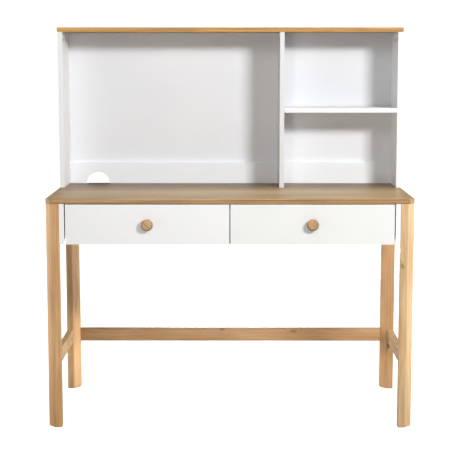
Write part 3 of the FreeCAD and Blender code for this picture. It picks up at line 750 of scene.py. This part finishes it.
# One tree sets a head, with its driving recess and shank, on every point of a mesh, turned to the
# point's own direction. Its inputs start as the plain screw.
def fastenerTree():
    tree = bpy.data.node_groups.new("fasteners", "GeometryNodeTree")
    face = tree.interface
    face.new_socket("Geometry", in_out="INPUT", socket_type="NodeSocketGeometry")
    for name, value in screw.items():
        size = face.new_socket(name, in_out="INPUT", socket_type="NodeSocketFloat")
        size.default_value = value * mm
    for name, value in (("Head Sides", 24), ("Seed", 3)):
        face.new_socket(name, in_out="INPUT", socket_type="NodeSocketInt").default_value = value
    face.new_socket("Hexagon Recess", in_out="INPUT", socket_type="NodeSocketBool")
    face.new_socket("Finish", in_out="INPUT", socket_type="NodeSocketMaterial")
    face.new_socket("Geometry", in_out="OUTPUT", socket_type="NodeSocketGeometry")
    given = addNode(tree, "NodeGroupInput").outputs
    spot = addNode(tree, "ShaderNodeSeparateXYZ",
                   {0: addNode(tree, "GeometryNodeInputPosition")}).outputs
    # what follows from the given sizes, and from a point's place on the head
    known = {"x": spot[0], "y": spot[1], **{name: given[name] for name in screw}}
    for name, operation, first, second in (
            ("xSquare", "MULTIPLY", "x", "x"), ("ySquare", "MULTIPLY", "y", "y"),
            ("spread", "ADD", "xSquare", "ySquare"),
            ("full", "MULTIPLY", "Head Radius", "Head Radius"),
            ("share", "DIVIDE", "spread", "full"), ("bend", "POWER", "share", 2.0),
            ("drop", "MULTIPLY", "bend", "Dome"), ("dome", "MULTIPLY", "drop", -1.0),
            ("halfHead", "MULTIPLY", "Head Height", 0.5),
            ("headPlace", "SUBTRACT", "halfHead", "Sink"),
            ("recessPlace", "SUBTRACT", "Head Height", "Sink"),
            ("cut", "MULTIPLY", "Recess Depth", 2.0),
            ("hexagon", "MULTIPLY", "Recess Length", 0.5),
            ("halfShank", "MULTIPLY", "Shank Length", -0.5),
            ("shankPlace", "SUBTRACT", "halfShank", "Sink")):
        known[name] = addNode(tree, "ShaderNodeMath", {0: known.get(first, first),
                                                       1: known.get(second, second)},
                              operation=operation)
    for name in ("dome", "headPlace", "recessPlace", "shankPlace"):
        known[name] = addNode(tree, "ShaderNodeCombineXYZ", {"Z": known[name]})
    # the head stands on the surface, less its sink, and has a domed top
    head = addNode(tree, "GeometryNodeMeshCylinder",
                   {"Vertices": given["Head Sides"], "Side Segments": 1, "Fill Segments": 4,
                    "Radius": given["Head Radius"], "Depth": given["Head Height"]})
    isTop = addNode(tree, "FunctionNodeCompare", {0: spot[2], 1: 0.0},
                    data_type="FLOAT", operation="GREATER_THAN")
    head = addNode(tree, "GeometryNodeSetPosition",
                   {"Geometry": head, "Selection": isTop, "Offset": known["dome"]})
    head = addNode(tree, "GeometryNodeTransform",
                   {"Geometry": head, "Translation": known["headPlace"]})
    # recess: a cross of two bars, or a hexagon
    bars = addNode(tree, "GeometryNodeJoinGeometry")
    for first, second in (("Recess Length", "Recess Width"), ("Recess Width", "Recess Length")):
        size = addNode(tree, "ShaderNodeCombineXYZ",
                       {"X": given[first], "Y": given[second], "Z": known["cut"]})
        bar = addNode(tree, "GeometryNodeMeshCube", {"Size": size})
        tree.links.new(bar.outputs[0], bars.inputs[0])
    hexagon = addNode(tree, "GeometryNodeMeshCylinder",
                      {"Vertices": 6, "Radius": known["hexagon"], "Depth": known["cut"]})
    cutter = addNode(tree, "GeometryNodeSwitch", {0: given["Hexagon Recess"], 1: bars, 2: hexagon},
                     input_type="GEOMETRY")
    cutter = addNode(tree, "GeometryNodeTransform",
                     {"Geometry": cutter, "Translation": known["recessPlace"]})
    # the two bars of a cross overlap, which the cut allows only with self intersection on
    cut = addNode(tree, "GeometryNodeMeshBoolean",
                  {"Mesh 1": head, "Mesh 2": cutter, "Self Intersection": True},
                  operation="DIFFERENCE", solver="EXACT")
    hasRecess = addNode(tree, "FunctionNodeCompare", {0: given["Recess Depth"], 1: 0.0},
                        data_type="FLOAT", operation="GREATER_THAN")
    head = addNode(tree, "GeometryNodeSwitch", {0: hasRecess, 1: head, 2: cut},
                   input_type="GEOMETRY")
    shank = addNode(tree, "GeometryNodeMeshCylinder",
                    {"Vertices": 8, "Radius": given["Shank Radius"],
                     "Depth": given["Shank Length"]})
    shank = addNode(tree, "GeometryNodeTransform",
                    {"Geometry": shank, "Translation": known["shankPlace"]})
    whole = addNode(tree, "GeometryNodeJoinGeometry", {0: shank})
    tree.links.new(head.outputs[0], whole.inputs[0])
    # each one stands along its aim, and is turned about it by chance
    aim = addNode(tree, "GeometryNodeInputNamedAttribute", {"Name": "aim"},
                  data_type="FLOAT_VECTOR")
    turn = addNode(tree, "FunctionNodeAlignRotationToVector", {"Vector": aim}, axis="Z")
    chance = addNode(tree, "FunctionNodeRandomValue",
                     {"Min": (0.0, 0.0, 0.0), "Max": (0.0, 0.0, math.pi), "Seed": given["Seed"]},
                     data_type="FLOAT_VECTOR")
    turn = addNode(tree, "FunctionNodeRotateRotation",
                   {"Rotation": turn, "Rotate By": chance}, rotation_space="LOCAL")
    put = addNode(tree, "GeometryNodeInstanceOnPoints",
                  {"Points": given["Geometry"], "Instance": whole, "Rotation": turn})
    real = addNode(tree, "GeometryNodeRealizeInstances", {"Geometry": put})
    final = addNode(tree, "GeometryNodeSetMaterial",
                    {"Geometry": real, "Material": given["Finish"]})
    addNode(tree, "NodeGroupOutput", {"Geometry": final})
    return tree


# Sets one kind of fastener on its spots, each a point and the way that its head faces.
def setFasteners(tree, name, body, spots, kind, finish, replaced=()):
    mesh = bpy.data.meshes.new(name + "Points")
    mesh.from_pydata([spot for spot, aim in spots], [], [])
    aims = mesh.attributes.new("aim", "FLOAT_VECTOR", "POINT")
    for row, (spot, aim) in zip(aims.data, spots):
        row.vector = aim
    points = link(bpy.data.objects.new(name + "Points", mesh))
    maker = points.modifiers.new("fasteners", "NODES")
    maker.node_group = tree
    values = {key: value * mm if isinstance(value, float) else value
              for key, value in fastenerSizes[kind].items()}
    values["Finish"] = finish
    for item in tree.interface.items_tree:
        if item.item_type == "SOCKET" and item.in_out == "INPUT" and item.name in values:
            maker[item.identifier] = values[item.name]
    seen = points.evaluated_get(bpy.context.evaluated_depsgraph_get())
    made = bpy.data.meshes.new_from_object(seen)
    made.name = name
    piece = link(bpy.data.objects.new(name, made))
    bpy.data.objects.remove(points)
    place(piece, body, replaced)


# Each bracket has two pairs of screws: into its wall, and up into the desktop.
bracketSizes = {"sheet": 2.0, "screwsApart": 12.0, "wallScrewDown": 11.0, "topScrewOut": 12.0}


def placeBracketScrews(tree, steel):
    sheet, out = bracketSizes["sheet"] * mm, bracketSizes["topScrewOut"] * mm
    down, run = bracketSizes["wallScrewDown"] * mm, bracketSizes["screwsApart"] / 2 * mm
    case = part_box("case_side_right")
    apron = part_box("case_back")[0].y
    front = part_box("drawer_right_front")[1].y
    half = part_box("case_partition")[1].x
    centre = (front + apron) / 2
    third = (apron - front) / 3
    spots = []
    for side in hands.values():
        corners = [((side * case[0].x, y), (-side, 0), (0, 1))
                   for y in (centre - third / 2, centre + third)]
        corners.append(((side * half, centre + side * third / 2), (side, 0), (0, 1)))
        corners.append(((side * case[0].x / 2, apron), (0, -1), (1, 0)))
        for (x, y), (outX, outY), (runX, runY) in corners:
            for step in (-run, run):
                spots.append(((x + outX * sheet + runX * step, y + outY * sheet + runY * step,
                               case[1].z - down), (outX, outY, 0)))
                spots.append(((x + outX * out + runX * step, y + outY * out + runY * step,
                               case[1].z - sheet), (0, 0, -1)))
    setFasteners(tree, "bracketScrews", "desk", spots, "screw", steel)


# Screws that hold the channels to the walls, and the angles to the drawer sides. The distances
# along are from a channel's front end.
runnerSizes = {"sheet": 1.2, "gap": 12.5, "caseAlong": (54.5, 179.5, 304.5, 364.5),
               "drawerAlong": (39.5, 189.5, 339.5), "drawerUp": 4.0}


def placeRunnerScrews(tree, steel):
    sheet, gap = runnerSizes["sheet"] * mm, runnerSizes["gap"] * mm
    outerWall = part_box("case_side_right")[0].x
    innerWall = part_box("case_partition")[1].x
    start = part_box("runner_case_right_outer")[0].y
    z = middle(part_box("roller_front_right_outer"), 2)
    onCase = [((side * (wall + way * sheet), start + along * mm, z), (side * way, 0, 0))
              for side in hands.values() for wall, way in ((outerWall, -1), (innerWall, 1))
              for along in runnerSizes["caseAlong"]]
    setFasteners(tree, "runnerScrews", "desk", onCase, "screw", steel)
    upper = z + runnerSizes["drawerUp"] * mm
    for word, side in hands.items():
        onDrawer = [((side * (wall - way * (gap - sheet)), start + along * mm, upper),
                     (side * way, 0, 0))
                    for wall, way in ((outerWall, 1), (innerWall, -1))
                    for along in runnerSizes["drawerAlong"]]
        setFasteners(tree, "runnerScrewsDrawer" + word.capitalize(), "drawer_" + word, onDrawer,
                     "flatScrew", steel)


# Two screws through each drawer side into the back, and one through the front into the knob
def placeDrawerScrews(tree, steel):
    upTheSide = (0.30, 0.68)  # shares of its height
    for word, side in hands.items():
        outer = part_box("drawer_%s_side_outer" % word)
        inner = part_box("drawer_%s_side_inner" % word)
        y = middle(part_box("drawer_%s_back" % word), 1)
        low, high = outer[0].z, outer[1].z
        faces = ((max(abs(outer[0].x), abs(outer[1].x)), 1),
                 (min(abs(inner[0].x), abs(inner[1].x)), -1))
        spots = [((side * x, y, low + (high - low) * share), (side * way, 0, 0))
                 for x, way in faces for share in upTheSide]
        setFasteners(tree, "drawerCornerScrews" + word.capitalize(), "drawer_" + word, spots,
                     "flushScrew", steel)
        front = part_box("drawer_%s_front" % word)
        spot = (middle(front, 0), front[1].y, middle(front, 2))
        setFasteners(tree, "knobScrew" + word.capitalize(), "drawer_" + word, [(spot, (0, 1, 0))],
                     "knobScrew", steel, ["drawer_%s_knob_screw" % word])


# Nails round the rim of the back panel, down the divider and along the rail, but not at the
# cable notch
nailSizes = {"inset": 3.7, "upFrom": 24.7, "upEvery": 100.0, "rows": 6, "acrossTo": 560.0,
             "across": 12, "railDown": 13.0, "notch": -480.0, "notchReach": 50.0}


def placePanelNails(tree, steel):
    n = nailSizes
    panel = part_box("hutch_back_panel")
    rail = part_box("hutch_rail_left")
    divider = middle(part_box("hutch_divider"), 0)
    rear = panel[1].y
    inset = n["inset"] * mm
    nails = []
    for step in range(n["rows"]):
        z = panel[0].z + (n["upFrom"] + step * n["upEvery"]) * mm
        nails += [((x, rear, z), (0, 1, 0)) for x in (panel[0].x + inset, divider,
                                                      panel[1].x - inset)]
    for step in range(n["across"]):
        x = n["acrossTo"] * (2 * step / (n["across"] - 1) - 1)
        nails.append(((x * mm, rear, panel[1].z - inset), (0, 1, 0)))
        if abs(x - n["notch"]) > n["notchReach"]:
            nails.append(((x * mm, rear, rail[1].z - n["railDown"] * mm), (0, 1, 0)))
    setFasteners(tree, "panelNails", "desk", nails, "nail", steel)


# Cam locks and bolts stand where the solid model has them: mm from a board's edge or end, and
# shares of its height.
jointSizes = {"hutchRows": (32, 96), "camBack": 26, "camShare": 0.3, "boltIn": 11.5,
              "boltShares": (0.25, 0.75)}


def placeCamsAndBolts(tree, finishes):
    steel = finishes["brightSteel"]
    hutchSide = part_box("hutch_side_right")
    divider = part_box("hutch_divider")
    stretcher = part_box("side_stretcher_right")
    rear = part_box("rear_stretcher")
    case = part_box("case_side_right")
    camBack, boltIn = jointSizes["camBack"] * mm, jointSizes["boltIn"] * mm
    rows = [hutchSide[0].y + row * mm for row in jointSizes["hutchRows"]]
    upper = hutchSide[1].z - camBack
    cams = [((face, y, upper), (way, 0, 0)) for y in rows
            for face, way in ((-hutchSide[0].x, 1), (hutchSide[0].x, -1), (divider[0].x, -1))]
    lower = stretcher[0].z + (stretcher[1].z - stretcher[0].z) * jointSizes["camShare"]
    for side in hands.values():
        cams += [((side * stretcher[0].x, y, lower), (-side, 0, 0))
                 for y in (stretcher[0].y + camBack, stretcher[1].y - camBack)]
        cams.append(((side * (rear[1].x - camBack), rear[1].y, lower), (0, 1, 0)))
    setFasteners(tree, "camLocks", "desk", cams, "camLock", finishes["zinc"], ["cam_locks"])
    high = case[1].z - case[0].z
    bolts = [((side * case[0].x, y, case[0].z + high * share), (-side, 0, 0))
             for side in hands.values()
             for y in (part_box("leg_front_right")[0].y + boltIn,
                       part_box("leg_rear_right")[1].y - boltIn)
             for share in jointSizes["boltShares"]]
    setFasteners(tree, "legBolts", "desk", bolts, "legBolt", steel, ["leg_bolts"])
    hutchBoards = (-middle(hutchSide, 0), middle(hutchSide, 0), middle(divider, 0))
    bolts = [((x, y, case[1].z), (0, 0, -1)) for x in hutchBoards for y in rows]
    setFasteners(tree, "hutchBolts", "desk", bolts, "hexBolt", steel, ["hutch_bolts"])


def placeAllFasteners(finishes):
    tree = fastenerTree()
    steel = finishes["brightSteel"]
    placeBracketScrews(tree, steel)
    placeRunnerScrews(tree, steel)
    placeDrawerScrews(tree, steel)
    placePanelNails(tree, steel)
    placeCamsAndBolts(tree, finishes)


setStudio()
print("studio set")
finishes = makeFinishes()
layFloor().data.materials.append(finishes["floor"])
finishNodes(finishes)
print("finishes made:", len(finishes))
dressBoards(finishes)
print("boards dressed")
turnKnobs(finishes)
mouldRollers(finishes)
print("knobs and rollers turned")
placeAllFasteners(finishes)
print("fasteners set")
